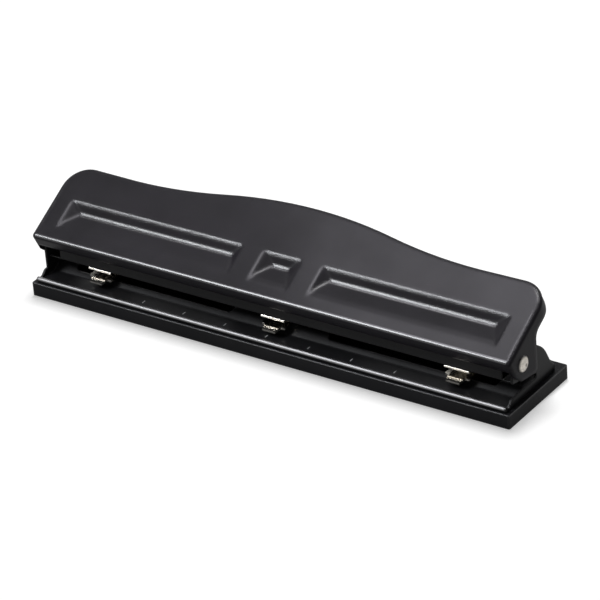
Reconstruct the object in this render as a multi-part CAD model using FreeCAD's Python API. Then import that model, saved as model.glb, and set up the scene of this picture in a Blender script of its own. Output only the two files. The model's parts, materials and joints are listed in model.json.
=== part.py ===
"""Manual three-hole paper punch: folded steel frame on a plastic chip tray, with a stamped lever,
three nickel-plated punch heads, and an outer pair of heads that slides along the frame.

Millimetres, +Z up. The origin is under the middle of the tray, on the table. +X runs to the right
of someone feeding paper in, and -Y is the side the paper enters from.
"""
import FreeCAD, Part
import math
import os

V = FreeCAD.Vector

# ---------------------------------------------------------------- driving dimensions
# chip tray
TRAY_LENGTH = 288.6
TRAY_DEPTH = 55.0
TRAY_TOP = 8.0
TRAY_CORNER_RADIUS = 1.0
TRAY_EDGE = 0.4
TRAY_END_WALL = 6.0
TRAY_FRONT_WALL = 4.5
TRAY_REAR_LEDGE = 9.5
TRAY_FLOOR = 1.8
TRAY_POCKET_WALL = 2.0
TRAY_POCKET_ROOF = 1.8
TRAY_POCKETS = 6

# rubber feet
FOOT_RADIUS = 6.0
FOOT_PROUD = 0.5
FOOT_RECESS = 1.0
FOOT_INSET_X = 14.0
FOOT_INSET_Y = 10.0

# sheet steel of the frame, the rail and the lever
SHEET = 1.2
BEND = 0.8

# base frame
PAPER_WIDTH = 279.4
PAPER_END_ROOM = 0.7
FRAME_SETBACK = 1.0
ROLL_RADIUS = 1.4
ROLL_BORE = 0.5
APRON_DEPTH = 13.2
RAMP_RUN = 5.2
RAMP_RISE = 3.7
FRAME_DEPTH = 46.2
OPENING_INNER_X = 28.6
OPENING_END_ROOM = 12.4
OPENING_FRONT = 2.8
OPENING_REAR = 5.0
OPENING_CORNER = 3.0
CENTRE_CHIP_HALF_WIDTH = 5.2
LOCATING_TAB_WIDTH = 12.0
LOCATING_TAB_DROP = 2.5
LOCATING_TAB_X = 60.0
LOCATING_GAP = 0.3

# end plates of the frame
THROAT_MOUTH_TOP = 20.2
THROAT_BACK_TOP = 15.5
THROAT_BACK = 30.2
EAR_FRONT = 10.0
EAR_LIP_START = 4.3
EAR_CREST = 34.8
EAR_CREST_BACK = 25.4
EAR_BREAK_BACK = 38.0
EAR_BREAK = 25.7

# lever
LEVER_TILT = 29.3
LEVER_FRONT = 2.9
LEVER_FRONT_HEIGHT = 34.2
LEVER_END_DEPTH = 46.6
LEVER_END_RISE = 0.3
LEVER_CROWN = 9.9
LEVER_CROWN_HALF = 104.0
LEVER_CROWN_BREAK = 50.5
LEVER_CORNER_RADIUS = 14.0
LEVER_BEND = 1.8
LEVER_FRONT_CORNER = 1.85
LEVER_REAR_TURN = 1.8
LEVER_ROOM = 30.0
LIP_DEPTH = 7.0
LIP_LEAN = 3.0

# end flanges of the lever
FLANGE_DEPTH = 8.3
FLANGE_END = 40.4
FLANGE_LEG_REAR = 29.4
FLANGE_LEG_BOTTOM = 17.7
FLANGE_TOE_BOTTOM = 19.9
FLANGE_TOE_FRONT = 13.5

# stiffening beads of the lever
BEAD_FRONT = 9.6
BEAD_VALLEY = 20.3
BEAD_BACK = 25.7
BEAD_DROP = 3.3
LONG_BEAD_INNER = 24.0
LONG_BEAD_END_ROOM = 11.6
CENTRE_BEAD_HALF = 11.5
LONG_BEAD_INNER_HIP = 5.4
LONG_BEAD_OUTER_HIP = 7.0
CENTRE_BEAD_HIP = 6.8
BEAD_FRONT_RADIUS = 16.0
BEAD_RADIUS = 1.6

# pivots
PIVOT_BACK = 15.6
PIVOT_HEIGHT = 28.5
PIVOT_RADIUS = 3.0
PIVOT_CLEARANCE = 0.05
PIVOT_HEAD_RADIUS = 4.5
PIVOT_HEAD_HEIGHT = 1.9
PIVOT_TAIL_RADIUS = 4.2
PIVOT_TAIL = 1.4
PIVOT_WASHER = 0.75
PIVOT_WASHER_RADIUS = 5.5
SIDE_GAP = 0.8

# punch heads
HOLE_SPACING = 107.95
PAPER_MARGIN = 11.6
PIN_BACK = 26.0
PIN_RADIUS = 3.57
HEAD_WIDTH = 14.0
HEAD_SHEET = 1.2
DIE_CLEARANCE = 0.03
GUIDE_CLEARANCE = 0.05
THROAT_HEIGHT = 3.1
DIE_NOSE_FRONT = 7.8
DIE_NOSE_WIDTH = 7.4
DIE_NOSE_ROOT = 9.6
DIE_NOSE_BEND = 10.8
DIE_NOSE_DROP = 0.8
DIE_SHOULDER = 12.0
JAW_FRONT = 12.0
JAW_SHEET = 1.2
JAW_EDGE = 0.3
GUIDE_HEIGHT = 25.7
GUIDE_FRONT = 19.5
SLIDE_INWARD = 63.5
SLIDE_END_ROOM = 20.45

# punch rail over the heads
RAIL_FRONT = 12.2
RAIL_HEADROOM = 0.5
RAIL_FOOT = 6.0
RAIL_END_RELIEF = 7.2
RAIL_END_HEIGHT = 19.0
RAIL_RUNNING_GAP = 0.2
SPRING_WINDOW = 12.0

# punch pins, springs and clips
PIN_TIP_SETBACK = 0.3
PIN_RISE_PAST_BEAD = 0.58
PIN_DOME_RADIUS = 6.0
PIN_TIP_HOLLOW = 7.0
PIN_TIP_HOLLOW_DEPTH = 0.9
CLIP_BELOW_TOP = 3.4
CLIP_THICKNESS = 0.7
CLIP_GROOVE = 0.8
CLIP_GROOVE_DEPTH = 0.6
CLIP_RADIUS = 5.2
CLIP_MOUTH = 3.0
SPRING_WIRE = 0.7
SPRING_RADIUS = 4.3
SPRING_TURNS = 4.5
SPRING_STEPS = 14
SPRING_WIRE_SIDES = 6
SPRING_SEAT_GAP = 0.05

# lock screws
SCREW_RADIUS = 1.25
SCREW_HOLE_CLEARANCE = 0.05
SCREW_SLOT_CLEARANCE = 0.25
SCREW_HEAD_RADIUS = 2.7
SCREW_HEAD = 1.8
SCREW_DRIVE = 0.8
SCREW_END = 1.2
LOCK_WASHER = 0.8
LOCK_WASHER_RADIUS = 3.3
NUT_FLATS = 5.0
NUT_THICKNESS = 2.0

# ---------------------------------------------------------------- places worked out from them
FRONT_Y = -TRAY_DEPTH / 2
HALF_INSIDE = PAPER_WIDTH / 2 + PAPER_END_ROOM
HALF_FRAME = HALF_INSIDE + SHEET
HALF_LEVER_INSIDE = HALF_FRAME + SIDE_GAP
HALF_LEVER = HALF_LEVER_INSIDE + SHEET
OPENING_OUTER_X = HALF_INSIDE - OPENING_END_ROOM
LONG_BEAD_OUTER = HALF_LEVER - LONG_BEAD_END_ROOM
SLIDE_OUTWARD = HALF_INSIDE - HOLE_SPACING - SLIDE_END_ROOM
APRON_TOP = TRAY_TOP + SHEET
RAMP_START = FRAME_SETBACK + APRON_DEPTH
DECK_START = RAMP_START + RAMP_RUN
DECK_TOP = APRON_TOP + RAMP_RISE
FRAME_REAR = FRAME_SETBACK + FRAME_DEPTH
DIE_TOP = DECK_TOP + HEAD_SHEET
JAW_BOTTOM = DIE_TOP + THROAT_HEIGHT
JAW_TOP = JAW_BOTTOM + JAW_SHEET
PAPER_STOP = PIN_BACK + PAPER_MARGIN
HEAD_REAR = PAPER_STOP + HEAD_SHEET
RAIL_REAR = HEAD_REAR + RAIL_RUNNING_GAP / 2 + SHEET
GUIDE_TOP = GUIDE_HEIGHT + HEAD_SHEET
RAIL_TOP = GUIDE_TOP + RAIL_HEADROOM + SHEET
SCREW_HEIGHT = (JAW_TOP + GUIDE_HEIGHT - BEND) / 2
TILT = math.radians(LEVER_TILT)
BEAD_RIDGE_HEIGHT = (LEVER_FRONT_HEIGHT + BEAD_VALLEY * math.sin(TILT)
                     - (BEAD_DROP + SHEET) * math.cos(TILT))
PIN_TIP = JAW_BOTTOM + PIN_TIP_SETBACK
PIN_TOP = BEAD_RIDGE_HEIGHT + PIN_RISE_PAST_BEAD
CLIP_HEIGHT = PIN_TOP - CLIP_BELOW_TOP
TRAY_BOTTOM = FOOT_PROUD
TRAY_LEDGE_START = TRAY_DEPTH - TRAY_REAR_LEDGE
HEAD_PLACES = {"left": -HOLE_SPACING, "centre": 0.0, "right": HOLE_SPACING}


# ---------------------------------------------------------------- drawing helpers
def side_point(u, z, x=0.0):
    """A point u behind the tray's front edge and z above the table."""
    return V(x, FRONT_Y + u, z)


def plan_point(x, u, z=0.0):
    """The same, with the place across the machine first."""
    return V(x, FRONT_Y + u, z)


def rounded_wire(corners, to_space):
    """A closed wire through corners (a, b, radius), each rounded by its own radius."""
    edges = []
    ends = []
    count = len(corners)
    for i, (a, b, radius) in enumerate(corners):
        here = V(a, b, 0)
        before = V(*corners[i - 1][:2], 0)
        after = V(*corners[(i + 1) % count][:2], 0)
        if radius <= 0:
            ends.append((here, here, None))
            continue
        to_before = (before - here).normalize()
        to_after = (after - here).normalize()
        half_angle = to_before.getAngle(to_after) / 2
        reach = radius / math.tan(half_angle)
        middle_line = (to_before + to_after).normalize()
        middle = here + middle_line * (radius / math.sin(half_angle) - radius)
        ends.append((here + to_before * reach, here + to_after * reach, middle))
    for i, (start, finish, middle) in enumerate(ends):
        if middle is not None:
            points = [to_space(p.x, p.y) for p in (start, middle, finish)]
            edges.append(Part.Arc(*points).toShape())
        next_start = ends[(i + 1) % count][0]
        if (next_start - finish).Length > 1e-6:
            there = to_space(next_start.x, next_start.y)
            edges.append(Part.makeLine(to_space(finish.x, finish.y), there))
    return Part.Wire(edges)


def side_plate(corners, x_low, x_high):
    """A plate with a side outline of corners (u, z, radius), from x_low to x_high."""
    wire = rounded_wire(corners, lambda u, z: side_point(u, z, x_low))
    return Part.Face(wire).extrude(V(x_high - x_low, 0, 0))


def plan_block(corners, z_low, z_high):
    """A block with a plan outline of corners (x, u, radius), from z_low to z_high."""
    wire = rounded_wire(corners, lambda x, u: plan_point(x, u, z_low))
    return Part.Face(wire).extrude(V(0, 0, z_high - z_low))


def rectangle(a_low, b_low, a_high, b_high, radius=0.0):
    places = [(a_low, b_low), (a_high, b_low), (a_high, b_high), (a_low, b_high)]
    return [(a, b, radius) for a, b in places]


def sheet_corners(path, thickness, bend):
    """Corners of a folded sheet on the right-hand side of path, with inside bend radius bend."""
    offset = []
    radii = []
    for i, (a, b) in enumerate(path):
        here = V(a, b, 0)
        directions = []
        if i > 0:
            directions.append((here - V(*path[i - 1], 0)).normalize())
        if i < len(path) - 1:
            directions.append((V(*path[i + 1], 0) - here).normalize())
        normals = [V(d.y, -d.x, 0) for d in directions]
        if len(normals) == 1:
            offset.append(here + normals[0] * thickness)
            radii.append((0.0, 0.0))
            continue
        reach = (normals[0] + normals[1]) * (thickness / (1 + normals[0].dot(normals[1])))
        offset.append(here + reach)
        turns_right = directions[0].cross(directions[1]).z < 0
        radii.append((bend + thickness, bend) if turns_right else (bend, bend + thickness))
    near = [(a, b, radii[i][0]) for i, (a, b) in enumerate(path)]
    far = [(offset[i].x, offset[i].y, radii[i][1]) for i in range(len(path))]
    return near + far[::-1]


def tube_x(radius, u, z, x_low, x_high):
    return Part.makeCylinder(radius, x_high - x_low, side_point(u, z, x_low), V(1, 0, 0))


def tube_y(radius, x, z, u_low, u_high):
    return Part.makeCylinder(radius, u_high - u_low, V(x, FRONT_Y + u_low, z), V(0, 1, 0))


def tube_z(radius, x, u, z_low, z_high):
    return Part.makeCylinder(radius, z_high - z_low, plan_point(x, u, z_low), V(0, 0, 1))


def pivot_way(clearance):
    """The room for both pivots, right across the machine."""
    return tube_x(PIVOT_RADIUS + clearance, PIVOT_BACK, PIVOT_HEIGHT, -HALF_LEVER - 1, HALF_LEVER + 1)


def save(name, shape):
    shape.exportStep("parts/" + name + ".step")


# ---------------------------------------------------------------- chip tray and feet
def foot_places():
    reach_x = TRAY_LENGTH / 2 - FOOT_INSET_X
    return [(x, u) for x in (-reach_x, reach_x) for u in (FOOT_INSET_Y, TRAY_DEPTH - FOOT_INSET_Y)]


def chip_tray():
    half = TRAY_LENGTH / 2
    body = plan_block(rectangle(-half, 0, half, TRAY_DEPTH, TRAY_CORNER_RADIUS), TRAY_BOTTOM, TRAY_TOP)
    body = body.makeFillet(TRAY_EDGE, [e for e in body.Edges if e.BoundBox.ZMin > TRAY_TOP - 0.01])
    room_half = half - TRAY_END_WALL
    room = rectangle(-room_half, TRAY_FRONT_WALL, room_half, TRAY_LEDGE_START, 2 * TRAY_CORNER_RADIUS)
    body = body.cut(plan_block(room, TRAY_BOTTOM + TRAY_FLOOR, TRAY_TOP + 1))
    pocket_front = TRAY_LEDGE_START + TRAY_POCKET_WALL
    pitch = (2 * half - TRAY_POCKET_WALL) / TRAY_POCKETS
    for i in range(TRAY_POCKETS):
        start = -half + TRAY_POCKET_WALL + i * pitch
        end = start + pitch - TRAY_POCKET_WALL
        pocket = rectangle(start, pocket_front, end, TRAY_DEPTH - TRAY_POCKET_WALL)
        body = body.cut(plan_block(pocket, TRAY_BOTTOM - 1, TRAY_TOP - TRAY_POCKET_ROOF))
    for x, u in foot_places():
        boss = tube_z(FOOT_RADIUS + TRAY_POCKET_WALL / 2, x, u, TRAY_BOTTOM, TRAY_BOTTOM + TRAY_FLOOR)
        recess = tube_z(FOOT_RADIUS + LOCATING_GAP / 3, x, u, TRAY_BOTTOM - 1, TRAY_BOTTOM + FOOT_RECESS)
        body = body.fuse(boss).cut(recess)
    for x in (-LOCATING_TAB_X, LOCATING_TAB_X):
        reach = LOCATING_TAB_WIDTH / 2 + LOCATING_GAP
        slot = rectangle(x - reach, FRAME_REAR - SHEET - LOCATING_GAP, x + reach, FRAME_REAR + LOCATING_GAP)
        body = body.cut(plan_block(slot, TRAY_TOP - LOCATING_TAB_DROP - LOCATING_GAP, TRAY_TOP + 1))
    return body.removeSplitter()


def rubber_feet():
    feet = []
    for x, u in foot_places():
        foot = tube_z(FOOT_RADIUS, x, u, 0, FOOT_PROUD + FOOT_RECESS)
        bottom = [e for e in foot.Edges if e.BoundBox.ZMax < 0.01]
        feet.append(foot.makeChamfer(FOOT_PROUD / 2, bottom))
    return Part.makeCompound(feet)


# ---------------------------------------------------------------- base frame
def ear_outline(open_throat):
    """End plate of the frame, in (u, z). An open end lets a wide sheet pass through its throat."""
    top = [
        (EAR_FRONT, EAR_CREST - 2.0, 4.0),
        (PIVOT_BACK, EAR_CREST, 5.0),
        (EAR_CREST_BACK, EAR_CREST, 8.0),
        (EAR_BREAK_BACK, EAR_BREAK, 20.0),
        (FRAME_REAR - 3.8, 15.6, 4.0),
        (FRAME_REAR, DECK_TOP - SHEET, 0.0),
        (FRAME_REAR, TRAY_TOP, 0.0),
        (EAR_LIP_START, TRAY_TOP, 0.0),
        (EAR_LIP_START, APRON_TOP, 0.0),
        (EAR_LIP_START + 3.6, DECK_TOP - 0.4, 2.0),
    ]
    if not open_throat:
        return top + [(EAR_FRONT, DECK_TOP - 0.2, 0.0)]
    mouth = [
        (THROAT_BACK, DECK_TOP, 0.8),
        (THROAT_BACK, THROAT_BACK_TOP, 0.8),
        (EAR_FRONT - 1.4, THROAT_MOUTH_TOP, 0.6),
    ]
    return top + mouth


def base_frame():
    path = [
        (FRAME_SETBACK + ROLL_RADIUS, APRON_TOP),
        (RAMP_START, APRON_TOP),
        (DECK_START, DECK_TOP),
        (FRAME_REAR, DECK_TOP),
        (FRAME_REAR, TRAY_TOP),
    ]
    body = side_plate(sheet_corners(path, SHEET, BEND), -HALF_INSIDE, HALF_INSIDE)
    roll_u = FRAME_SETBACK + ROLL_RADIUS
    roll_z = TRAY_TOP + ROLL_RADIUS
    body = body.fuse(tube_x(ROLL_RADIUS, roll_u, roll_z, -HALF_FRAME, HALF_FRAME))
    body = body.cut(tube_x(ROLL_BORE, roll_u, roll_z, -HALF_FRAME - 1, HALF_FRAME + 1))
    for low, high in ((OPENING_INNER_X, OPENING_OUTER_X), (-OPENING_OUTER_X, -OPENING_INNER_X)):
        opening = rectangle(low, RAMP_START + OPENING_FRONT, high, PIN_BACK + OPENING_REAR, OPENING_CORNER)
        body = body.cut(plan_block(opening, TRAY_TOP - 1, DECK_TOP + 1))
    chip = rectangle(-CENTRE_CHIP_HALF_WIDTH, PIN_BACK - CENTRE_CHIP_HALF_WIDTH,
                     CENTRE_CHIP_HALF_WIDTH, PIN_BACK + OPENING_REAR, OPENING_CORNER)
    body = body.cut(plan_block(chip, TRAY_TOP - 1, DECK_TOP + 1))
    front_tab = (TRAY_FRONT_WALL + LOCATING_GAP, TRAY_FRONT_WALL + LOCATING_GAP + SHEET)
    rear_tab = (FRAME_REAR - SHEET, FRAME_REAR)
    for x in (-LOCATING_TAB_X, LOCATING_TAB_X):
        for u_low, u_high in (front_tab, rear_tab):
            tab = rectangle(x - LOCATING_TAB_WIDTH / 2, u_low, x + LOCATING_TAB_WIDTH / 2, u_high)
            body = body.fuse(plan_block(tab, TRAY_TOP - LOCATING_TAB_DROP, APRON_TOP - SHEET / 2))
    body = body.fuse(side_plate(ear_outline(True), HALF_INSIDE, HALF_FRAME))
    body = body.fuse(side_plate(ear_outline(False), -HALF_FRAME, -HALF_INSIDE))
    body = body.cut(pivot_way(PIVOT_CLEARANCE / 2))
    return body.removeSplitter()


# ---------------------------------------------------------------- punch rail
def slide_span(place):
    """How far either side of its set place a head's axis moves, as (low x, high x)."""
    if place == "left":
        return -HOLE_SPACING - SLIDE_OUTWARD, -HOLE_SPACING + SLIDE_INWARD
    if place == "right":
        return HOLE_SPACING - SLIDE_INWARD, HOLE_SPACING + SLIDE_OUTWARD
    return 0.0, 0.0


def punch_rail():
    path = [
        (RAIL_FRONT, JAW_TOP + RAIL_RUNNING_GAP),
        (RAIL_FRONT, RAIL_TOP),
        (RAIL_REAR, RAIL_TOP),
        (RAIL_REAR, DECK_TOP + SHEET),
        (RAIL_REAR + RAIL_FOOT, DECK_TOP + SHEET),
    ]
    body = side_plate(sheet_corners(path, SHEET, BEND), -HALF_INSIDE, HALF_INSIDE)
    rail_end = HALF_INSIDE - RAIL_END_RELIEF
    for side in (-1, 1):
        x_low, x_high = sorted((side * rail_end, side * (HALF_INSIDE + 1)))
        end = rectangle(x_low, RAIL_FRONT - 1, x_high, RAIL_REAR + 1)
        body = body.cut(plan_block(end, RAIL_END_HEIGHT, RAIL_TOP + 1))
    slot_radius = SCREW_RADIUS + SCREW_SLOT_CLEARANCE
    for place in HEAD_PLACES:
        low, high = slide_span(place)
        window = rectangle(low - SPRING_WINDOW / 2, PIN_BACK - SPRING_WINDOW / 2,
                           high + SPRING_WINDOW / 2, PIN_BACK + SPRING_WINDOW / 2, SPRING_WINDOW / 2 - 0.5)
        body = body.cut(plan_block(window, GUIDE_TOP - 1, RAIL_TOP + 1))
        wall = (RAIL_REAR - SHEET - 1, RAIL_REAR + 1)
        body = body.cut(tube_y(slot_radius, low, SCREW_HEIGHT, *wall))
        if high > low:
            body = body.cut(tube_y(slot_radius, high, SCREW_HEIGHT, *wall))
            corner = V(low, FRONT_Y + wall[0], SCREW_HEIGHT - slot_radius)
            body = body.cut(Part.makeBox(high - low, wall[1] - wall[0], 2 * slot_radius, corner))
    return body.removeSplitter()


# ---------------------------------------------------------------- lever
# It is drawn lying flat, then tilted: a across, s back from its front bend, w out of its face.
def flat_point(a, s, w=0.0):
    return V(a, s, w)


def lever_outline():
    """Plan of the lever's sheet: straight ends, rounded rear corners and a crowned rear edge."""
    corner = LEVER_END_DEPTH + LEVER_END_RISE
    centre = V(HALF_LEVER - LEVER_CORNER_RADIUS, corner - LEVER_CORNER_RADIUS, 0)
    diagonal = V(1, 1, 0).normalize() * LEVER_CORNER_RADIUS
    corner_side = V(HALF_LEVER, centre.y, 0)
    corner_back = V(centre.x, corner, 0)
    foot = V(LEVER_CROWN_HALF, LEVER_END_DEPTH, 0)
    slope = 2 * LEVER_CROWN / LEVER_CROWN_HALF
    top = LEVER_END_DEPTH + LEVER_CROWN
    turn = V(LEVER_CROWN_BREAK, top - slope * LEVER_CROWN_BREAK / 2, 0)
    hollow_x = (LEVER_CROWN_HALF + LEVER_CROWN_BREAK) / 2
    run = LEVER_CROWN_HALF - hollow_x
    hollow_rise = slope * run * run / (2 * (LEVER_CROWN_HALF - LEVER_CROWN_BREAK))
    hollow = V(hollow_x, LEVER_END_DEPTH + hollow_rise, 0)

    def mirrored(point):
        return V(-point.x, point.y, point.z)

    start = V(HALF_LEVER, -LEVER_ROOM, 0)
    edges = [Part.makeLine(start, corner_side)]
    edges.append(Part.Arc(corner_side, centre + diagonal, corner_back).toShape())
    edges.append(Part.makeLine(corner_back, foot))
    edges.append(Part.Arc(foot, hollow, turn).toShape())
    edges.append(Part.Arc(turn, V(0, top, 0), mirrored(turn)).toShape())
    edges.append(Part.Arc(mirrored(turn), mirrored(hollow), mirrored(foot)).toShape())
    edges.append(Part.makeLine(mirrored(foot), mirrored(corner_back)))
    far_turn = Part.Arc(mirrored(corner_back), mirrored(centre + diagonal), mirrored(corner_side))
    edges.append(far_turn.toShape())
    edges.append(Part.makeLine(mirrored(corner_side), mirrored(start)))
    edges.append(Part.makeLine(mirrored(start), start))
    return Part.Face(Part.Wire(edges))


def bent_block(inset):
    """The lever's outer form, or with an inset the room inside its sheet, as one solid."""
    plan = lever_outline()
    if inset > 0:
        plan = plan.makeOffset2D(-inset)
    block = plan.extrude(V(0, 0, -LEVER_ROOM))
    block.translate(V(0, 0, -inset))
    lean = math.tan(math.radians(LIP_LEAN))
    front = inset / math.cos(math.radians(LIP_LEAN))
    deep = 2 * LEVER_ROOM
    long = 3 * LEVER_ROOM
    corners = [(front + lean, 1, 0), (long, 1, 0), (long, -deep, 0), (front - deep * lean, -deep, 0)]
    wedge = rounded_wire(corners, lambda s, w: flat_point(-HALF_LEVER - 1, s, w))
    block = block.common(Part.Face(wedge).extrude(V(2 * HALF_LEVER + 2, 0, 0)))
    upright = [e for e in block.Edges if e.BoundBox.ZLength > 10 and e.BoundBox.YMin < 0]
    block = block.makeFillet(LEVER_FRONT_CORNER - inset, upright)
    rim = [e for e in block.Edges if e.BoundBox.ZMin > -inset - 0.01]
    return block.makeFillet(LEVER_BEND - inset, rim)


def to_flat(u, z):
    """A side place (u, z) as (s, w) on the lever drawn flat."""
    du = u - LEVER_FRONT
    dz = z - LEVER_FRONT_HEIGHT
    return du * math.cos(TILT) + dz * math.sin(TILT), -du * math.sin(TILT) + dz * math.cos(TILT)


def flange_outline():
    """Side outline of the lever's ends, in (s, w): a shallow flange with a leg down to the pivot."""
    toe_front = to_flat(FLANGE_TOE_FRONT, FLANGE_TOE_BOTTOM)
    leg_bottom = to_flat(FLANGE_LEG_REAR - 0.8, FLANGE_LEG_BOTTOM)
    leg_top = to_flat(FLANGE_LEG_REAR, FLANGE_LEG_BOTTOM + 19.4)
    lean = math.tan(math.radians(LIP_LEAN))
    return [
        (-2.0, 1.0, 0.0),
        (FLANGE_END + 30.0, 1.0, 0.0),
        (FLANGE_END + 30.0, -LEVER_REAR_TURN, 0.0),
        (FLANGE_END + 0.6, -LEVER_REAR_TURN, 0.0),
        (FLANGE_END, -FLANGE_DEPTH, 4.5),
        (leg_top[0], -FLANGE_DEPTH, 6.0),
        (leg_bottom[0], leg_bottom[1], 2.5),
        (toe_front[0], toe_front[1], 3.0),
        (-LIP_DEPTH * lean - 0.6, -LIP_DEPTH - 2.2, 1.5),
        (-2.0, -LIP_DEPTH, 0.0),
    ]


def bead(x_low, x_high, hip_low, hip_high, sink):
    """A pressed-in trough: a rectangle at the face that slopes to a valley line below it."""
    face = [V(x_low, BEAD_FRONT, sink), V(x_high, BEAD_FRONT, sink),
            V(x_high, BEAD_BACK, sink), V(x_low, BEAD_BACK, sink)]
    valley_ends = (x_low + hip_low, x_high - hip_high)
    valley = [V(x, BEAD_VALLEY, sink - BEAD_DROP) for x in valley_ends]
    sides = [
        face,
        [face[0], face[1], valley[1], valley[0]],
        [face[1], face[2], valley[1]],
        [face[2], face[3], valley[0], valley[1]],
        [face[3], face[0], valley[0]],
    ]
    faces = [Part.Face(Part.makePolygon(side + [side[0]])) for side in sides]
    return Part.Solid(Part.Shell(faces))


def beads(sink):
    return [
        bead(LONG_BEAD_INNER, LONG_BEAD_OUTER, LONG_BEAD_INNER_HIP, LONG_BEAD_OUTER_HIP, sink),
        bead(-LONG_BEAD_OUTER, -LONG_BEAD_INNER, LONG_BEAD_OUTER_HIP, LONG_BEAD_INNER_HIP, sink),
        bead(-CENTRE_BEAD_HALF, CENTRE_BEAD_HALF, CENTRE_BEAD_HIP, CENTRE_BEAD_HIP, sink),
    ]


def bead_edges(body):
    """The straight edges of the beads on the lever's upper face, as (long front edges, all the others)."""
    fronts = []
    others = []
    for edge in body.Edges:
        box = edge.BoundBox
        in_bead = box.YMin > BEAD_FRONT - 0.1 and box.YMax < BEAD_BACK + 0.1
        on_top = -BEAD_DROP - 0.05 < box.ZMin and abs(box.ZMax + SHEET) > 0.02
        if not in_bead or not on_top or edge.Curve.TypeId != "Part::GeomLine":
            continue
        along_front = box.YLength < 0.01 and box.ZMin > -0.05 and box.YMax < BEAD_FRONT + 0.3
        (fronts if along_front else others).append(edge)
    return fronts, others


def soften_beads(body):
    """Round the beads as a press leaves them: a wide roll-off in front, tighter everywhere else."""
    body = body.makeFillet(BEAD_FRONT_RADIUS, bead_edges(body)[0])
    return body.makeFillet(BEAD_RADIUS, bead_edges(body)[1])


def lever_handle():
    body = bent_block(0.0).cut(bent_block(SHEET))
    flange = rounded_wire(flange_outline(), lambda s, w: flat_point(-HALF_LEVER - 1, s, w))
    body = body.common(Part.Face(flange).extrude(V(2 * HALF_LEVER + 2, 0, 0)))
    lip_half = HALF_LEVER - LEVER_FRONT_CORNER
    between = Part.makeBox(2 * lip_half, 24, 40, V(-lip_half, -20, -40 - LIP_DEPTH))
    body = body.cut(between)
    for trough in beads(-SHEET):
        body = body.fuse(trough)
    for trough in beads(0.0):
        body = body.cut(trough)
    body = soften_beads(body.removeSplitter())
    body.rotate(V(0, 0, 0), V(1, 0, 0), LEVER_TILT)
    body.translate(side_point(LEVER_FRONT, LEVER_FRONT_HEIGHT))
    return body.cut(pivot_way(PIVOT_CLEARANCE))


# ---------------------------------------------------------------- pivots
def pivot_rivet(side):
    """Domed rivet through the lever's flange and the frame's end, swaged over inside."""
    dome_radius = (PIVOT_HEAD_RADIUS ** 2 + PIVOT_HEAD_HEIGHT ** 2) / (2 * PIVOT_HEAD_HEIGHT)
    ball = Part.makeSphere(dome_radius, V(HALF_LEVER + PIVOT_HEAD_HEIGHT - dome_radius, 0, 0))
    head = ball.common(Part.makeBox(20, 20, 20, V(HALF_LEVER, -10, -10)))
    shank = Part.makeCylinder(PIVOT_RADIUS, HALF_LEVER - HALF_INSIDE + PIVOT_TAIL / 2,
                              V(HALF_INSIDE - PIVOT_TAIL / 2, 0, 0), V(1, 0, 0))
    tail = Part.makeCylinder(PIVOT_TAIL_RADIUS, PIVOT_TAIL, V(HALF_INSIDE - PIVOT_TAIL, 0, 0), V(1, 0, 0))
    tail = tail.makeChamfer(0.4, [e for e in tail.Edges if e.BoundBox.XMax < HALF_INSIDE - PIVOT_TAIL + 0.01])
    body = head.fuse(shank).fuse(tail).removeSplitter()
    if side < 0:
        body = body.mirror(V(0, 0, 0), V(1, 0, 0))
    body.translate(side_point(PIVOT_BACK, PIVOT_HEIGHT))
    return body


def pivot_washer(side):
    gap = (SIDE_GAP - PIVOT_WASHER) / 2
    low = HALF_FRAME + gap if side > 0 else -HALF_FRAME - gap - PIVOT_WASHER
    disc = tube_x(PIVOT_WASHER_RADIUS, PIVOT_BACK, PIVOT_HEIGHT, low, low + PIVOT_WASHER)
    return disc.cut(tube_x(PIVOT_RADIUS + PIVOT_CLEARANCE, PIVOT_BACK, PIVOT_HEIGHT, low - 1, low + 1))


# ---------------------------------------------------------------- punch heads, drawn about x = 0
def head_bracket():
    """Die arm, paper stop and upper pin guide, folded from one strip."""
    path = [
        (DIE_NOSE_FRONT, DIE_TOP - DIE_NOSE_DROP),
        (DIE_NOSE_BEND, DIE_TOP),
        (PAPER_STOP, DIE_TOP),
        (PAPER_STOP, GUIDE_HEIGHT),
        (GUIDE_FRONT, GUIDE_HEIGHT),
    ]
    half = HEAD_WIDTH / 2
    body = side_plate(sheet_corners(path, HEAD_SHEET, BEND), -half, half)
    nose = DIE_NOSE_WIDTH / 2
    root = DIE_NOSE_ROOT / 2
    right_side = [(nose, DIE_NOSE_FRONT - 0.1, 0), (root, DIE_SHOULDER, 0.5), (half, DIE_SHOULDER, 0.8),
                  (half, HEAD_REAR + 1, 0)]
    plan = [(-x, u, radius) for x, u, radius in right_side[::-1]] + right_side
    body = body.common(plan_block(plan, TRAY_TOP, RAIL_TOP))
    body = body.cut(tube_z(PIN_RADIUS + DIE_CLEARANCE, 0, PIN_BACK, DECK_TOP - 1, DIE_TOP + 1))
    body = body.cut(tube_z(PIN_RADIUS + GUIDE_CLEARANCE, 0, PIN_BACK, GUIDE_HEIGHT - 1, GUIDE_TOP + 1))
    screw_hole = SCREW_RADIUS + SCREW_HOLE_CLEARANCE
    return body.cut(tube_y(screw_hole, 0, SCREW_HEIGHT, PAPER_STOP - 1, HEAD_REAR + 1)).removeSplitter()


def stripper_plate():
    """Stripper plate over the paper, which holds the sheets down as the pin is drawn out."""
    half = HEAD_WIDTH / 2
    body = side_plate(rectangle(JAW_FRONT, JAW_BOTTOM, PAPER_STOP, JAW_TOP), -half, half)
    front = [e for e in body.Edges if e.BoundBox.YMax < FRONT_Y + JAW_FRONT + 0.01 and e.BoundBox.XLength > 1]
    body = body.makeFillet(JAW_EDGE, front)
    return body.cut(tube_z(PIN_RADIUS + GUIDE_CLEARANCE, 0, PIN_BACK, JAW_BOTTOM - 1, JAW_TOP + 1))


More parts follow.
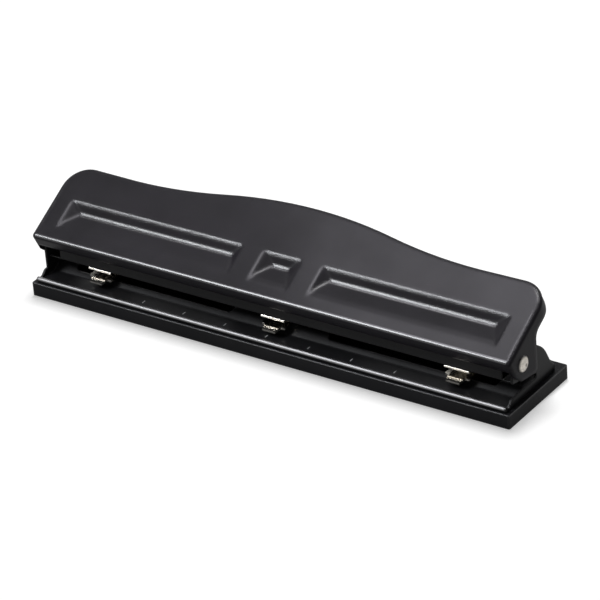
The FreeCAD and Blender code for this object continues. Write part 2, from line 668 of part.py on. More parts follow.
def punch_pin():
    """Domed at the lever end, grooved for its clip and hollow-ground at the cutting end."""
    body = tube_z(PIN_RADIUS, 0, PIN_BACK, PIN_TIP, PIN_TOP)
    dome = Part.makeSphere(PIN_DOME_RADIUS, plan_point(0, PIN_BACK, PIN_TOP - PIN_DOME_RADIUS))
    dome_foot = PIN_TOP - PIN_DOME_RADIUS + math.sqrt(PIN_DOME_RADIUS ** 2 - PIN_RADIUS ** 2)
    below = tube_z(PIN_DOME_RADIUS, 0, PIN_BACK, PIN_TIP, dome_foot)
    body = body.common(dome.fuse(below))
    ring = tube_z(PIN_RADIUS + 1, 0, PIN_BACK, CLIP_HEIGHT, CLIP_HEIGHT + CLIP_GROOVE)
    core = tube_z(PIN_RADIUS - CLIP_GROOVE_DEPTH, 0, PIN_BACK, CLIP_HEIGHT, CLIP_HEIGHT + CLIP_GROOVE)
    body = body.cut(ring.cut(core))
    hollow_z = PIN_TIP - PIN_TIP_HOLLOW + PIN_TIP_HOLLOW_DEPTH
    return body.cut(tube_x(PIN_TIP_HOLLOW, PIN_BACK, hollow_z, -PIN_RADIUS - 1, PIN_RADIUS + 1))


def spring_clip():
    low = CLIP_HEIGHT + (CLIP_GROOVE - CLIP_THICKNESS) / 2
    inner = PIN_RADIUS - CLIP_GROOVE_DEPTH + GUIDE_CLEARANCE
    ring = tube_z(CLIP_RADIUS, 0, PIN_BACK, low, low + CLIP_THICKNESS)
    ring = ring.cut(tube_z(inner, 0, PIN_BACK, low - 1, low + 2))
    mouth = rectangle(-CLIP_MOUTH / 2, PIN_BACK, CLIP_MOUTH / 2, PIN_BACK + CLIP_RADIUS + 1)
    return ring.cut(plan_block(mouth, low - 1, low + 2))


def return_spring():
    """Compression spring between the upper guide and the clip on the pin, with a six-sided wire."""
    low = GUIDE_TOP + SPRING_WIRE / 2 + SPRING_SEAT_GAP
    high = CLIP_HEIGHT - SPRING_WIRE / 2 - SPRING_SEAT_GAP
    rise = (high - low) / SPRING_TURNS
    sections = []
    for i in range(round(SPRING_TURNS * SPRING_STEPS) + 1):
        angle = 2 * math.pi * i / SPRING_STEPS
        out = V(math.cos(angle), math.sin(angle), 0)
        along = V(-SPRING_RADIUS * out.y, SPRING_RADIUS * out.x, rise / (2 * math.pi))
        across = along.cross(out).normalize()
        middle = plan_point(0, PIN_BACK, low + rise * i / SPRING_STEPS) + out * SPRING_RADIUS
        corners = []
        for k in range(SPRING_WIRE_SIDES):
            turn = 2 * math.pi * k / SPRING_WIRE_SIDES
            offset = out * math.cos(turn) + across * math.sin(turn)
            corners.append(middle + offset * (SPRING_WIRE / 2))
        sections.append(Part.makePolygon(corners + [corners[0]]))
    return Part.makeLoft(sections, True, True)


def lock_screw():
    head_u = RAIL_REAR + LOCK_WASHER
    tip_u = PAPER_STOP - NUT_THICKNESS - SCREW_END
    shank = tube_y(SCREW_RADIUS, 0, SCREW_HEIGHT, tip_u, head_u + SCREW_HEAD / 2)
    head = tube_y(SCREW_HEAD_RADIUS, 0, SCREW_HEIGHT, head_u, head_u + SCREW_HEAD)
    crown = [e for e in head.Edges if e.BoundBox.YMin > FRONT_Y + head_u + SCREW_HEAD - 0.01]
    head = head.makeChamfer(SCREW_HEAD / 3, crown)
    body = head.fuse(shank)
    corner = V(-SCREW_HEAD_RADIUS, FRONT_Y + head_u + SCREW_HEAD / 2, SCREW_HEIGHT - SCREW_DRIVE / 2)
    return body.cut(Part.makeBox(2 * SCREW_HEAD_RADIUS, SCREW_HEAD, SCREW_DRIVE, corner))


def lock_washer():
    ring = tube_y(LOCK_WASHER_RADIUS, 0, SCREW_HEIGHT, RAIL_REAR, RAIL_REAR + LOCK_WASHER)
    return ring.cut(tube_y(SCREW_RADIUS + SCREW_HOLE_CLEARANCE, 0, SCREW_HEIGHT, RAIL_REAR - 1, RAIL_REAR + 2))


def lock_nut():
    radius = NUT_FLATS / math.sqrt(3)
    u_low = PAPER_STOP - NUT_THICKNESS
    corners = []
    for i in range(6):
        angle = math.radians(60 * i)
        corners.append(V(radius * math.cos(angle), FRONT_Y + u_low, SCREW_HEIGHT + radius * math.sin(angle)))
    prism = Part.Face(Part.makePolygon(corners + [corners[0]])).extrude(V(0, NUT_THICKNESS, 0))
    return prism.cut(tube_y(SCREW_RADIUS + SCREW_HOLE_CLEARANCE, 0, SCREW_HEIGHT, u_low - 1, PAPER_STOP + 1))


# ---------------------------------------------------------------- build every node
def main():
    os.makedirs("parts", exist_ok=True)
    save("chip_tray", chip_tray())
    save("rubber_feet", rubber_feet())
    save("base_frame", base_frame())
    save("punch_rail", punch_rail())
    save("lever_handle", lever_handle())
    save("pivot_rivets", Part.makeCompound([pivot_rivet(side) for side in (-1, 1)]))
    save("pivot_washers", Part.makeCompound([pivot_washer(side) for side in (-1, 1)]))
    pieces = {
        "head_bracket": head_bracket,
        "stripper_plate": stripper_plate,
        "punch_pin": punch_pin,
        "spring_clip": spring_clip,
        "return_spring": return_spring,
        "lock_screw": lock_screw,
        "lock_washer": lock_washer,
        "lock_nut": lock_nut,
    }
    for piece, build in pieces.items():
        for place, x in HEAD_PLACES.items():
            shape = build()
            shape.translate(V(x, 0, 0))
            save(piece + "_" + place, shape)


main()
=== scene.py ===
"""Looks of the manual three-hole paper punch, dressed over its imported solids."""
import json
import math

import bmesh
import bpy
from mathutils import Matrix, Vector

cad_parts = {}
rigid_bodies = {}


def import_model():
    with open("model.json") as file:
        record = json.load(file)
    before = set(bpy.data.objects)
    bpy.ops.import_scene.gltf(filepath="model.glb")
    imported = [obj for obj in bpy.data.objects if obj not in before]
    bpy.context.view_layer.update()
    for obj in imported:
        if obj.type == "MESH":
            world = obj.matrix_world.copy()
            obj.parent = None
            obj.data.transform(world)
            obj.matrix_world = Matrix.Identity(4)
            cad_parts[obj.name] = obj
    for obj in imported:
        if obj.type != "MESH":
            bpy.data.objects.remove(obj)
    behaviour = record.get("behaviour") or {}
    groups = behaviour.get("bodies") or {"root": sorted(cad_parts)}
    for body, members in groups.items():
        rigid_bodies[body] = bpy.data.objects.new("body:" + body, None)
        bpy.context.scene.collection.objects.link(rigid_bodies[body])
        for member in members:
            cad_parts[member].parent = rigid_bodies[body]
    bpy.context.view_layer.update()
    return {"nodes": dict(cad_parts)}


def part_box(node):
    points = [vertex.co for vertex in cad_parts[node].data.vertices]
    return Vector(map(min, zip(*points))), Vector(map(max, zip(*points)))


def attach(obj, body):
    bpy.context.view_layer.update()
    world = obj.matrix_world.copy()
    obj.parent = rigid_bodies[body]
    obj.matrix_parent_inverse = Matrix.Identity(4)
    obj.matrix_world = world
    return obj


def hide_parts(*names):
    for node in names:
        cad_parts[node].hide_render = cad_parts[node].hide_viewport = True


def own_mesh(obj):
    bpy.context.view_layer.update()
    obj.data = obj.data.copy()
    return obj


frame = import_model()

MM = 0.001
NODES = frame["nodes"]
SIDES = ("left", "centre", "right")

# ---------------------------------------------------------------- measures in metres
TRAY_HALF_DEPTH = 27.5 * MM
INCH = 25.4 * MM

# Bands across the depth: the bends at the front, and the beads pressed in the lever.
LIP_BEND_BACK = -22.6 * MM
LIP_BAND_EDGE = 0.3 * MM
LIP_ROUNDING_FADE = 3 * MM
BEADS_BACK = 0.5 * MM
BEADS_FADE = 4 * MM

# Printed marks on the apron, ahead of the throat.
MARK_WIDTH = 0.34 * MM
MARK_FRONT = 20.4 * MM
MARK_BACK = 18.0 * MM
MARK_SHIFT = 1.8 * MM
MARK_REACH = 3.5 * INCH

# Middle of the pivot rivets (depth, height), and the sizes of the painted shadow ring at their rim
# and of the painted shade of a small dimple at their middle.
RIVET_SPOT = (-11.9 * MM, 28.5 * MM)
RIVET_RIM = 4.2 * MM
RIVET_RIM_INSIDE = 0.78 * RIVET_RIM
RIVET_DIMPLE = 1.1 * MM
RIVET_DIMPLE_INSIDE = 0.6 * MM

# Coil springs.
WIRE_RADIUS = 0.35 * MM
WIRE_SIDES = 8
COIL_RADIUS = 4.3 * MM
COIL_STEPS = 24
CLOSED_TURNS = 0.75
CLOSED_PITCH = 1.9 * WIRE_RADIUS
OPEN_TURNS = 3.5

# ---------------------------------------------------------------- camera
CAMERA_AZIMUTH = math.radians(36.462)
CAMERA_ELEVATION = math.radians(29.074)
CAMERA_ROLL = math.radians(-4.586)
CAMERA_DISTANCE = 1753.12 * MM
CAMERA_AIM_RIGHT = 19.257 * MM
CAMERA_AIM_UP = 30.016 * MM
CAMERA_LENS = 211.644
CAMERA_SENSOR = 36.0
CAMERA_NEAR = 0.01
CAMERA_FAR = 50

# ---------------------------------------------------------------- floor and lamps
AIM = (0.0, 0.0, 0.03)
OVERHEAD_SPOT = (-0.09, 0.33, 1.45)
OVERHEAD_SIZE = (0.40, 0.40)
OVERHEAD_POWER = 13.5
CEILING_SPOT = (-0.30, -0.10, 1.14)
CEILING_AIM = (-0.06, -0.04, 0.0)
CEILING_SIZE = (0.95, 0.6)
CEILING_POWER = 1.8
CEILING_SPREAD = math.radians(50)
FRONT_LEFT_SPOT = (-2.05, -1.92, 2.83)
FRONT_LEFT_SIZE = (1.1, 1.3)
FRONT_LEFT_POWER = 95.0
ROOM_LIGHT = 0.22
FLOOR_REACH = 6.0
FLOOR_GLOW = 0.45

# ---------------------------------------------------------------- colours
WHITE = (1.0, 1.0, 1.0)
CEILING_WHITE = (0.95, 0.93, 1.0)
WINDOW_WHITE = (0.94, 0.96, 1.0)
FLOOR_PAPER = (0.80, 0.80, 0.80)
WORN_ENAMEL = (0.16, 0.15, 0.15)
WORN_PLASTIC = (0.10, 0.10, 0.10)
WORN_METAL = (0.9, 0.88, 0.85)
DUST_ON_ENAMEL = (0.22, 0.22, 0.23)
DUST_ON_PLASTIC = (0.2, 0.2, 0.2)
MARK_INK = (0.62, 0.62, 0.62)
# Colour of the painted shade on the rim and the dimple of the rivet heads.
RIVET_SHADE = (0.02, 0.02, 0.02)


def opaque(colour, gain=1.0):
    """The colour, made lighter by gain, with full alpha."""
    return tuple(part * gain for part in colour) + (1,)


class Board:
    """Lays out a node tree: add a node with its settings, join sockets, do sums."""

    def __init__(self, tree):
        self.tree = tree

    def add(self, kind, **settings):
        node = self.tree.nodes.new(kind)
        for key, value in settings.items():
            setattr(node, key, value)
        return node

    def join(self, source, target):
        self.tree.links.new(source, target)

    def give(self, socket, value):
        """Joins a socket to the target socket, or writes a constant on it."""
        if isinstance(value, bpy.types.NodeSocket):
            self.join(value, socket)
        else:
            socket.default_value = value

    def feed(self, node, **values):
        for key, value in values.items():
            self.give(node.inputs[key.replace("_", " ")], value)
        return node

    def sum(self, operation, first, second=0.0, clamp=False):
        node = self.add("ShaderNodeMath", operation=operation, use_clamp=clamp)
        self.give(node.inputs[0], first)
        self.give(node.inputs[1], second)
        return node.outputs[0]

    def times(self, first, second, clamp=False):
        return self.sum("MULTIPLY", first, second, clamp)

    def ramp(self, value, low, high, from_value=0.0, to_value=1.0):
        node = self.add("ShaderNodeMapRange", clamp=True)
        self.feed(node, Value=value, From_Min=low, From_Max=high,
                  To_Min=from_value, To_Max=to_value)
        return node.outputs["Result"]

    def mix(self, factor, first, second):
        node = self.add("ShaderNodeMix", data_type="RGBA")
        for index, value in ((0, factor), (6, first), (7, second)):
            self.give(node.inputs[index], value)
        return node.outputs[2]

    def noise(self, **values):
        """Noise on Object coordinates."""
        node = self.add("ShaderNodeTexNoise")
        self.feed(node, Vector=self.place(), **values)
        return node.outputs["Fac"]

    def place(self, kind="Object"):
        return self.add("ShaderNodeTexCoord").outputs[kind]

    def split(self, vector):
        """The X, Y and Z outputs of a vector."""
        node = self.add("ShaderNodeSeparateXYZ")
        self.join(vector, node.inputs[0])
        return node.outputs

    def bump(self, normal=None, **values):
        node = self.add("ShaderNodeBump")
        self.feed(node, **values)
        if normal is not None:
            self.join(normal, node.inputs["Normal"])
        return node.outputs["Normal"]

    def rounded(self, radius, samples=8):
        """Normal of the surface with its edges drawn round."""
        node = self.add("ShaderNodeBevel", samples=samples)
        self.feed(node, Radius=radius)
        return node.outputs["Normal"]

    def placed(self, group, **values):
        """One of the shared effects, with its own numbers."""
        return self.feed(self.add("ShaderNodeGroup", node_tree=group), **values)


def place_camera():
    """A long lens from the front right, above the lever."""
    flat = math.cos(CAMERA_ELEVATION)
    back = Vector((math.sin(CAMERA_AZIMUTH) * flat,
                   -math.cos(CAMERA_AZIMUTH) * flat,
                   math.sin(CAMERA_ELEVATION)))
    level = Vector((math.cos(CAMERA_AZIMUTH), math.sin(CAMERA_AZIMUTH), 0))
    rise = back.cross(level)
    right = level * math.cos(CAMERA_ROLL) + rise * math.sin(CAMERA_ROLL)
    up = rise * math.cos(CAMERA_ROLL) - level * math.sin(CAMERA_ROLL)
    spot = right * CAMERA_AIM_RIGHT + up * CAMERA_AIM_UP + back * CAMERA_DISTANCE
    spot.y -= TRAY_HALF_DEPTH
    data = bpy.data.cameras.new("camera")
    data.lens = CAMERA_LENS
    data.sensor_width = CAMERA_SENSOR
    data.clip_start = CAMERA_NEAR
    data.clip_end = CAMERA_FAR
    camera = bpy.data.objects.new("camera", data)
    bpy.context.scene.collection.objects.link(camera)
    turn = Matrix((right, up, back)).transposed().to_4x4()
    camera.matrix_world = Matrix.Translation(spot) @ turn
    bpy.context.scene.camera = camera
    bpy.context.scene.view_settings.view_transform = "Standard"


def softbox(name, spot, aim, size, power, colour=WHITE):
    """A rectangular lamp at spot, turned to face aim."""
    data = bpy.data.lights.new(name, "AREA")
    data.shape = "RECTANGLE"
    data.size, data.size_y = size
    data.energy = power
    data.color = colour
    lamp = bpy.data.objects.new(name, data)
    bpy.context.scene.collection.objects.link(lamp)
    lamp.location = spot
    lamp.rotation_euler = (Vector(aim) - Vector(spot)).to_track_quat("-Z", "Y").to_euler()
    return lamp


def seen_directly(board):
    """1 for rays that look straight, mirrored or through glass at a surface, 0 for its light."""
    path = board.add("ShaderNodeLightPath")
    mirrored = board.sum("MAXIMUM", path.outputs["Is Glossy Ray"],
                         path.outputs["Is Transmission Ray"])
    return board.sum("MAXIMUM", path.outputs["Is Camera Ray"], mirrored)


def mix_shaders(board, plain, direct, target):
    """Gives the target the direct shader where it is looked at, and the plain one elsewhere."""
    mix = board.add("ShaderNodeMixShader")
    board.join(seen_directly(board), mix.inputs["Fac"])
    board.join(plain.outputs[0], mix.inputs[1])
    board.join(direct.outputs[0], mix.inputs[2])
    board.join(mix.outputs[0], board.add(target).inputs["Surface"])


def light_the_scene():
    """A small lamp overhead for the soft shadow, and two boxes that only shine on the punch."""
    softbox("overhead_box", OVERHEAD_SPOT, AIM, OVERHEAD_SIZE, OVERHEAD_POWER)
    ceiling = softbox("ceiling_box", CEILING_SPOT, CEILING_AIM, CEILING_SIZE, CEILING_POWER,
                      CEILING_WHITE)
    ceiling.data.spread = CEILING_SPREAD
    front_left = softbox("front_left_box", FRONT_LEFT_SPOT, AIM, FRONT_LEFT_SIZE, FRONT_LEFT_POWER,
                         WINDOW_WHITE)
    punch = bpy.data.collections.new("lit_punch")
    for thing in bpy.data.objects:
        if thing.type == "MESH" and thing.name != "floor":
            punch.objects.link(thing)
    ceiling.light_linking.receiver_collection = punch
    front_left.light_linking.receiver_collection = punch
    world = bpy.data.worlds.new("studio")
    world.use_nodes = True
    board = Board(world.node_tree)
    world.node_tree.nodes.clear()
    room, backdrop = (
        board.feed(board.add("ShaderNodeBackground"), Color=opaque(WHITE), Strength=strength)
        for strength in (ROOM_LIGHT, 1.0))
    mix_shaders(board, room, backdrop, "ShaderNodeOutputWorld")
    bpy.context.scene.world = world


def lay_floor():
    """A pale tabletop that reads as white around the object and keeps its soft shadow."""
    mesh = bpy.data.meshes.new("floor")
    shape = bmesh.new()
    bmesh.ops.create_grid(shape, x_segments=1, y_segments=1, size=FLOOR_REACH)
    shape.to_mesh(mesh)
    shape.free()
    floor = bpy.data.objects.new("floor", mesh)
    bpy.context.scene.collection.objects.link(floor)
    material = bpy.data.materials.new("floor_paper")
    material.use_nodes = True
    board = Board(material.node_tree)
    material.node_tree.nodes.clear()
    paper = board.feed(board.add("ShaderNodeBsdfDiffuse"), Color=opaque(FLOOR_PAPER))
    glow = board.feed(board.add("ShaderNodeEmission"), Strength=FLOOR_GLOW)
    both = board.add("ShaderNodeAddShader")
    board.join(paper.outputs[0], both.inputs[0])
    board.join(glow.outputs[0], both.inputs[1])
    mix_shaders(board, paper, both, "ShaderNodeOutputMaterial")
    mesh.materials.append(material)


# ---------------------------------------------------------------- shared effects, as node groups
def effect(name, outputs=("Mask",), **inputs):
    """A shader node group with named number inputs and named number outputs."""
    group = bpy.data.node_groups.new(name, "ShaderNodeTree")
    for label, value in inputs.items():
        socket = group.interface.new_socket(
            name=label.replace("_", " "), in_out="INPUT", socket_type="NodeSocketFloat")
        socket.default_value = value
    for label in outputs:
        group.interface.new_socket(name=label, in_out="OUTPUT", socket_type="NodeSocketFloat")
    board = Board(group)
    given = board.add("NodeGroupInput").outputs
    return board, given, board.add("NodeGroupOutput").inputs


def edge_wear_effect():
    """Mask rises where the surface turns sharply, broken up by noise. Turn rises at any bend."""
    board, given, result = effect("edge_wear", ("Mask", "Turn"), Radius=0.5 * MM, Break_Up=600.0)
    true_face = board.add("ShaderNodeNewGeometry")
    dot = board.add("ShaderNodeVectorMath", operation="DOT_PRODUCT")
    board.join(board.rounded(given["Radius"], samples=4), dot.inputs[0])
    board.join(true_face.outputs["Normal"], dot.inputs[1])
    sharp = board.ramp(dot.outputs["Value"], 0.995, 0.80)
    broken = board.ramp(board.noise(Scale=given["Break Up"], Detail=3.0), 0.42, 0.62)
    board.join(board.times(sharp, broken), result["Mask"])
    board.join(board.ramp(dot.outputs["Value"], 0.999, 0.95), result["Turn"])
    return board.tree


def paint_skin_effect():
    """Height of sprayed and baked enamel, an orange peel under a finer grain, and a slow cloud."""
    board, given, result = effect(
        "paint_skin", ("Height", "Cloud"), Peel=420.0, Grain=2600.0, Grain_Share=0.35)
    peel = board.noise(Scale=given["Peel"], Detail=2.0)
    grain = board.noise(Scale=given["Grain"], Detail=2.0)
    board.join(board.sum("ADD", peel, board.times(grain, given["Grain Share"])), result["Height"])
    board.join(board.noise(Scale=28.0, Detail=4.0, Roughness=0.6), result["Cloud"])
    return board.tree


def dust_effect():
    """Fine dust and lint that settles on faces that look up."""
    board, given, result = effect("settled_dust", Amount=0.5, Speck_Scale=900.0)
    face = board.add("ShaderNodeNewGeometry")
    up = board.ramp(board.split(face.outputs["Normal"])["Z"], 0.25, 0.95)
    specks = board.add("ShaderNodeTexVoronoi", feature="F1")
    board.feed(specks, Vector=board.place(), Scale=given["Speck Scale"])
    dots = board.ramp(specks.outputs["Distance"], 0.10, 0.04)
    patches = board.ramp(board.noise(Scale=140.0, Detail=3.0), 0.50, 0.70)
    mask = board.times(board.times(dots, patches), up)
    board.join(board.times(mask, given["Amount"], clamp=True), result["Mask"])
    return board.tree


def upper_side_effect():
    """Gloss of the spray: full on faces that look up or forward, none on ends and undersides."""
    board, given, result = effect("upper_side", Low=0.08, High=0.30, Rear=2.6)
    facing = board.split(board.place("Normal"))
    up = board.ramp(facing["Z"], given["Low"], given["High"])
    endways = board.ramp(board.sum("ABSOLUTE", facing["X"]), 0.78, 0.50)
    backward = board.ramp(facing["Y"], 0.60, 0.30)
    front = board.times(up, board.times(endways, backward))
    rear = board.times(board.ramp(facing["Y"], 0.45, 0.75), given["Rear"])
    board.join(board.sum("MAXIMUM", front, rear), result["Mask"])
    return board.tree


def scratches_effect():
    """Fine handling scratches in two crossing directions."""
    board, given, result = effect("hairlines", Scale=260.0, Stretch=0.05)
    squeeze = board.feed(board.add("ShaderNodeCombineXYZ"), X=given["Stretch"], Y=1.0, Z=1.0)
    total = None
    for turn, seed in ((0.5, 0.0), (-0.9, 7.0)):
        across = board.add("ShaderNodeMapping")
        board.feed(across, Vector=board.place(), Rotation=(0, 0, turn), Scale=squeeze.outputs[0])
        lines = board.add("ShaderNodeTexNoise", noise_dimensions="4D")
        board.feed(lines, Vector=across.outputs[0], W=seed, Scale=given["Scale"], Detail=1.0)
        mask = board.ramp(lines.outputs["Fac"], 0.70, 0.80)
        total = mask if total is None else board.sum("MAXIMUM", total, mask)
    board.join(total, result["Mask"])
    return board.tree


def inch_marks_effect():
    """Short printed lines an inch apart on the apron, to set the paper by."""
    board, given, result = effect("inch_marks", Width=MARK_WIDTH)
    parts = board.split(board.place())
    off = board.sum("PINGPONG", board.sum("ADD", parts["X"], MARK_SHIFT), INCH / 2)
    mask = board.sum("LESS_THAN", off, board.times(given["Width"], 0.5))
    reach = board.sum("ABSOLUTE", parts["X"])
    for way, value, limit in (("GREATER_THAN", parts["Y"], -MARK_FRONT),
                              ("LESS_THAN", parts["Y"], -MARK_BACK),
                              ("LESS_THAN", reach, MARK_REACH)):
        mask = board.times(mask, board.sum(way, value, limit))
    board.join(mask, result["Mask"])
    return board.tree


INCH_MARKS = inch_marks_effect()
EDGE_WEAR = edge_wear_effect()
PAINT_SKIN = paint_skin_effect()
SETTLED_DUST = dust_effect()
HAIRLINES = scratches_effect()
UPPER_SIDE = upper_side_effect()


# ---------------------------------------------------------------- materials
def start_material(name):
    """A new material with its board and its one shader."""
    material = bpy.data.materials.new(name)
    material.use_nodes = True
    board = Board(material.node_tree)
    return material, board, material.node_tree.nodes["Principled BSDF"]


def enamel(name, colour, roughness, peel_depth, gloss, bead_gloss, lip_gloss, gloss_roughness,
           rounding, lip_rounding, marks=0.0):
    """Black baked enamel on sheet steel, with more gloss where hands rub its bends.

    The gloss is a coat. Flat faces have little of it, the bends of the beads more, and the bend
    along the front edge its own share. It fades on bends that turn sideways.
    """
    material, board, skin = start_material(name)
    paint = board.placed(PAINT_SKIN).outputs
    wear = board.placed(EDGE_WEAR, Radius=0.35 * MM, Break_Up=900.0).outputs
    lint = board.placed(SETTLED_DUST, Amount=0.3).outputs
    lines = board.placed(HAIRLINES).outputs
    base = board.mix(board.ramp(paint["Cloud"], 0.35, 0.7), opaque(colour), opaque(colour, 1.5))
    base = board.mix(board.times(wear["Mask"], 0.18), base, opaque(WORN_ENAMEL))
    base = board.mix(lint["Mask"], base, opaque(DUST_ON_ENAMEL))
    if marks:
        inches = board.placed(INCH_MARKS).outputs
        base = board.mix(board.times(inches["Mask"], marks), base, opaque(MARK_INK))
    rough = board.ramp(paint["Cloud"], 0.3, 0.75, roughness * 0.9, roughness * 1.15)
    rough = board.sum("ADD", rough, board.times(lines["Mask"], 0.05))

    depth = board.split(board.place())["Y"]
    radius = board.ramp(depth, LIP_BEND_BACK, LIP_BEND_BACK + LIP_ROUNDING_FADE,
                        lip_rounding, rounding)
    drawn = board.rounded(radius)
    endways = board.ramp(board.sum("ABSOLUTE", board.split(drawn)["X"]), 0.02, 0.11, 1.0, 0.04)
    bends = board.placed(EDGE_WEAR, Radius=radius, Break_Up=900.0).outputs["Turn"]
    beads = board.ramp(depth, BEADS_BACK, BEADS_BACK + BEADS_FADE, bead_gloss, 0.0)
    lip = board.ramp(depth, LIP_BEND_BACK + LIP_BAND_EDGE, LIP_BEND_BACK - LIP_BAND_EDGE,
                     0.0, lip_gloss)
    rubbed = board.times(board.sum("MAXIMUM", board.times(bends, beads), lip), endways)
    flat = board.ramp(paint["Cloud"], 0.35, 0.70, gloss * 0.86, gloss * 1.18)
    coat = board.times(board.placed(UPPER_SIDE).outputs["Mask"],
                       board.sum("MAXIMUM", rubbed, flat))
    peel = board.bump(drawn, Height=paint["Height"], Distance=peel_depth, Strength=0.6)
    board.feed(skin, Base_Color=base, Roughness=rough, Normal=peel, Specular_IOR_Level=0.05,
               Coat_Weight=coat, Coat_Roughness=gloss_roughness, Coat_IOR=2.0, Coat_Normal=drawn)
    return material


def plastic(name, colour, roughness, grain, depth, specular, edge_gloss=0.0, rounding=0.8 * MM):
    """Moulded plastic or rubber with a fine spark-eroded grain, and glossier edges if asked."""
    material, board, skin = start_material(name)
    paint = board.placed(PAINT_SKIN, Peel=grain, Grain=grain * 4).outputs
    wear = board.placed(EDGE_WEAR, Radius=0.4 * MM, Break_Up=700.0).outputs
    lint = board.placed(SETTLED_DUST, Amount=0.4).outputs
    base = board.mix(board.ramp(paint["Cloud"], 0.35, 0.7), opaque(colour), opaque(colour, 1.4))
    base = board.mix(board.times(wear["Mask"], 0.25), base, opaque(WORN_PLASTIC))
    base = board.mix(lint["Mask"], base, opaque(DUST_ON_PLASTIC))
    rough = board.ramp(paint["Cloud"], 0.3, 0.75, roughness * 0.92, roughness * 1.12)
    drawn = None
    if edge_gloss:
        drawn = board.rounded(rounding)
        edges = board.placed(EDGE_WEAR, Radius=rounding).outputs["Turn"]
        board.feed(skin, Coat_Weight=board.times(edges, edge_gloss), Coat_Roughness=0.20,
                   Coat_Normal=drawn)
    sparked = board.bump(drawn, Height=paint["Height"], Distance=depth, Strength=0.6)
    board.feed(skin, Base_Color=base, Roughness=rough, Normal=sparked, Specular_IOR_Level=specular)
    return material


def rivet_shade(board, base):
    """Paints shade on the rim of a rivet's head and in the dimple at its middle."""
    parts = board.split(board.place())
    across, up = (board.sum("POWER", board.sum("SUBTRACT", parts[axis], spot), 2.0)
                  for axis, spot in zip("YZ", RIVET_SPOT))
    out = board.sum("SQRT", board.sum("ADD", across, up))
    rim = board.ramp(out, RIVET_RIM_INSIDE, RIVET_RIM)
    dimple = board.ramp(out, RIVET_DIMPLE, RIVET_DIMPLE_INSIDE, 0.0, 0.6)
    return board.mix(board.sum("MAXIMUM", rim, dimple), base, opaque(RIVET_SHADE))


def plated(name, colour, dull, roughness, stretch=0.08, dents_and_shade=0.0):
    """Plated or ground steel with hairlines and tarnish; given a dent depth, it is hammered and
    gets painted shade on a rivet head's rim and dimple.
    """
    material, board, skin = start_material(name)
    paint = board.placed(PAINT_SKIN, Peel=300.0, Grain=1800.0).outputs
    lines = board.placed(HAIRLINES, Scale=700.0, Stretch=stretch).outputs
    wear = board.placed(EDGE_WEAR, Radius=0.2 * MM, Break_Up=1500.0).outputs
    tarnish = board.times(board.ramp(paint["Cloud"], 0.42, 0.68), 0.5)
    base = board.mix(tarnish, opaque(colour), opaque(dull))
    base = board.mix(board.times(wear["Mask"], 0.4), base, opaque(WORN_METAL))
    rough = board.ramp(paint["Cloud"], 0.3, 0.7, roughness * 0.8, roughness * 1.3)
    rough = board.sum("ADD", rough, board.times(lines["Mask"], 0.2))
    hammered = None
    if dents_and_shade:
        # Painted shade on the rim and the dimple of the rivet head.
        base = rivet_shade(board, base)
        hollows = board.noise(Scale=420.0, Detail=2.0)
        hammered = board.bump(Height=hollows, Distance=dents_and_shade, Strength=1.0)
    ground = board.bump(hammered, Height=lines["Mask"], Distance=0.02 * MM, Strength=0.5)
    board.feed(skin, Base_Color=base, Roughness=rough, Normal=ground, Metallic=1.0)
    return material


LEVER_ENAMEL = enamel(
    "lever_enamel", (0.0038, 0.0033, 0.0046), roughness=0.40, peel_depth=0.04 * MM,
    gloss=0.08, bead_gloss=0.85, lip_gloss=0.42, gloss_roughness=0.13,
    rounding=3.0 * MM, lip_rounding=1.8 * MM)
FRAME_ENAMEL = enamel(
    "frame_enamel", (0.0065, 0.0065, 0.0070), roughness=0.30, peel_depth=0.03 * MM,
    gloss=0.09, bead_gloss=0.60, lip_gloss=1.00, gloss_roughness=0.34,
    rounding=1.2 * MM, lip_rounding=1.6 * MM, marks=0.8)
RAIL_ENAMEL = enamel(
    "rail_enamel", (0.016, 0.016, 0.0165), roughness=0.38, peel_depth=0.03 * MM,
    gloss=0.10, bead_gloss=0.40, lip_gloss=0.40, gloss_roughness=0.16,
    rounding=0.8 * MM, lip_rounding=0.8 * MM)
TRAY_PLASTIC = plastic(
    "tray_plastic", (0.0085, 0.0085, 0.0092), roughness=0.34, grain=900.0, depth=0.03 * MM,
    specular=0.03, edge_gloss=0.9)
FOOT_RUBBER = plastic(
    "foot_rubber", (0.03, 0.03, 0.03), roughness=0.75, grain=1400.0, depth=0.05 * MM, specular=0.3)
NICKEL_PLATE = plated("nickel_plate", (0.78, 0.75, 0.69), (0.55, 0.50, 0.42), roughness=0.16)
ZINC_PLATE = plated("zinc_plate", (0.68, 0.67, 0.64), (0.48, 0.46, 0.42), roughness=0.28)
RIVET_STEEL = plated(
    "rivet_steel", (0.50, 0.47, 0.42), (0.20, 0.18, 0.16), roughness=0.34, stretch=0.3,
    dents_and_shade=2.4 * MM)
TOOL_STEEL = plated(
    "tool_steel", (0.56, 0.56, 0.55), (0.36, 0.35, 0.33), roughness=0.24, stretch=0.4)
SPRING_WIRE = plated("spring_wire", (0.50, 0.49, 0.47), (0.30, 0.28, 0.25), roughness=0.30)

FINISHES = {
    "lever_handle": LEVER_ENAMEL,
    "base_frame": FRAME_ENAMEL,
    "punch_rail": RAIL_ENAMEL,
    "chip_tray": TRAY_PLASTIC,
    "rubber_feet": FOOT_RUBBER,
    "pivot_rivets": RIVET_STEEL,
    "pivot_washers": ZINC_PLATE,
    "head_bracket": NICKEL_PLATE,
    "stripper_plate": NICKEL_PLATE,
    "punch_pin": TOOL_STEEL,
    "spring_clip": TOOL_STEEL,
    "return_spring": SPRING_WIRE,
    "lock_screw": ZINC_PLATE,
    "lock_washer": ZINC_PLATE,
    "lock_nut": ZINC_PLATE,
}


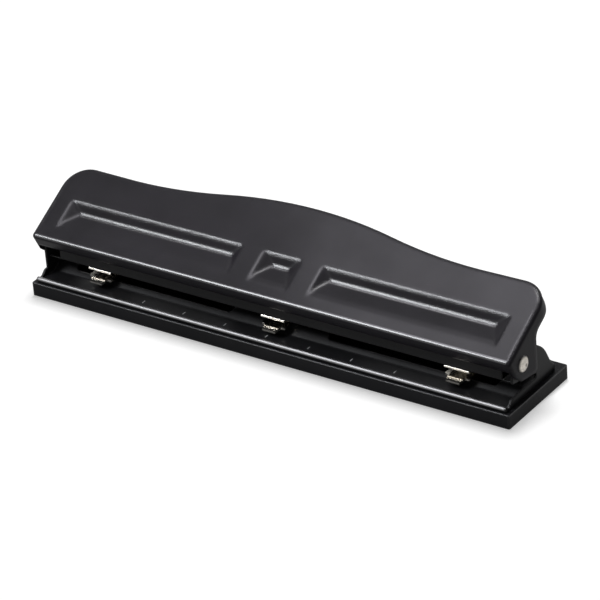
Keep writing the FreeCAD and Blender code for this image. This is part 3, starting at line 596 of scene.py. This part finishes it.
def coil_spring(side):
    """Compression spring with closed ends, built at one fixed length; the clip presses the real
    spring down as its pin goes down.
    """
    node = "return_spring_" + side
    low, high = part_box(node)
    middle = Vector(((low[0] + high[0]) / 2, (low[1] + high[1]) / 2, 0))
    bottom, top = low[2] + WIRE_RADIUS, high[2] - WIRE_RADIUS
    lie = CLOSED_PITCH * CLOSED_TURNS
    shape = bmesh.new()
    ring = bmesh.ops.create_circle(shape, segments=WIRE_SIDES, radius=WIRE_RADIUS)["verts"]
    bmesh.ops.rotate(shape, verts=ring, matrix=Matrix.Rotation(math.radians(90), 3, "X"))
    bmesh.ops.translate(shape, verts=ring, vec=middle + Vector((COIL_RADIUS, 0, bottom)))
    last = shape.edges[:]
    bmesh.ops.contextual_create(shape, geom=last)
    open_rise = top - bottom - 2 * lie
    for turns, rise in ((CLOSED_TURNS, lie), (OPEN_TURNS, open_rise), (CLOSED_TURNS, lie)):
        steps = round(turns * COIL_STEPS)
        grown = bmesh.ops.spin(
            shape, geom=last, cent=middle, axis=(0, 0, 1), dvec=(0, 0, rise / steps),
            angle=2 * math.pi * turns, steps=steps, use_merge=False, use_duplicate=False)
        last = [part for part in grown["geom_last"] if isinstance(part, bmesh.types.BMEdge)]
    bmesh.ops.contextual_create(shape, geom=last)
    bmesh.ops.recalc_face_normals(shape, faces=shape.faces[:])
    for face in shape.faces:
        face.smooth = len(face.verts) == 4
    mesh = bpy.data.meshes.new("coil_spring_" + side)
    shape.to_mesh(mesh)
    shape.free()
    mesh.materials.append(SPRING_WIRE)
    spring = bpy.data.objects.new("coil_spring_" + side, mesh)
    bpy.context.scene.collection.objects.link(spring)
    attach(spring, {"centre": "base_frame"}.get(side, "head_" + side))
    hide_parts(node)
    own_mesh(spring)


def finish_nodes():
    """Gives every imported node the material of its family."""
    for name, node in NODES.items():
        family = name
        for side in SIDES:
            family = family.replace("_" + side, "")
        for slot in node.material_slots:
            slot.material = FINISHES[family]


finish_nodes()
for side in SIDES:
    coil_spring(side)
lay_floor()
light_the_scene()
place_camera()
